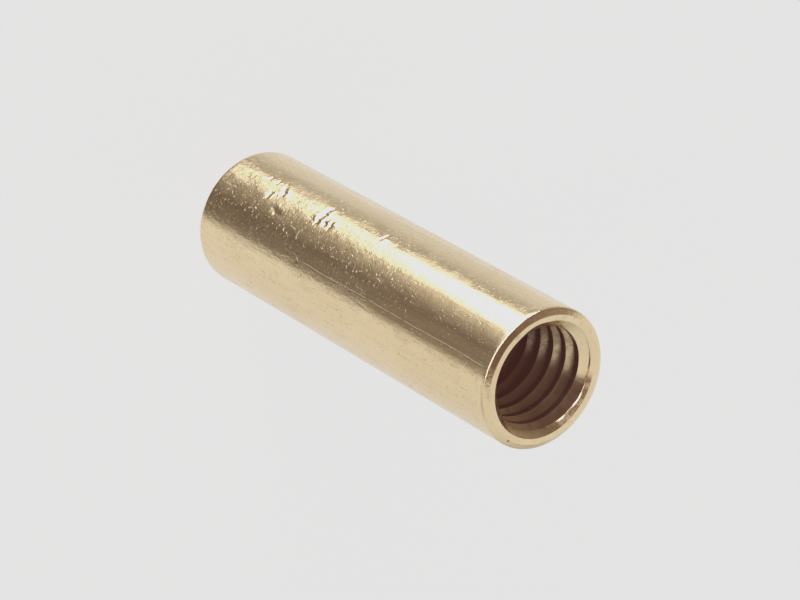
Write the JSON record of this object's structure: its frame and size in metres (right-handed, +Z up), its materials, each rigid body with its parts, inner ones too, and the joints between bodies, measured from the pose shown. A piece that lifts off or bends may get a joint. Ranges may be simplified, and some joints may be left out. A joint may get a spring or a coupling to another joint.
{
  "type": "thread adapter",
  "caption": "Plain round turned brass sleeve with a female thread cut in from each end, which joins male threaded parts end to end.",
  "frame": {"origin": "centre of the lower end face, which the sleeve stands on", "axes": "+Z up along the sleeve's axis; X and Y are free, apart from where the thread starts"},
  "size_m": [0.006, 0.006, 0.02],
  "materials": {
    "brass": "satin, finely turned, with small handling dents and scratches"
  },
  "bodies": {
    "root": {"threaded_sleeve": "brass"}
  },
  "joints": []
}
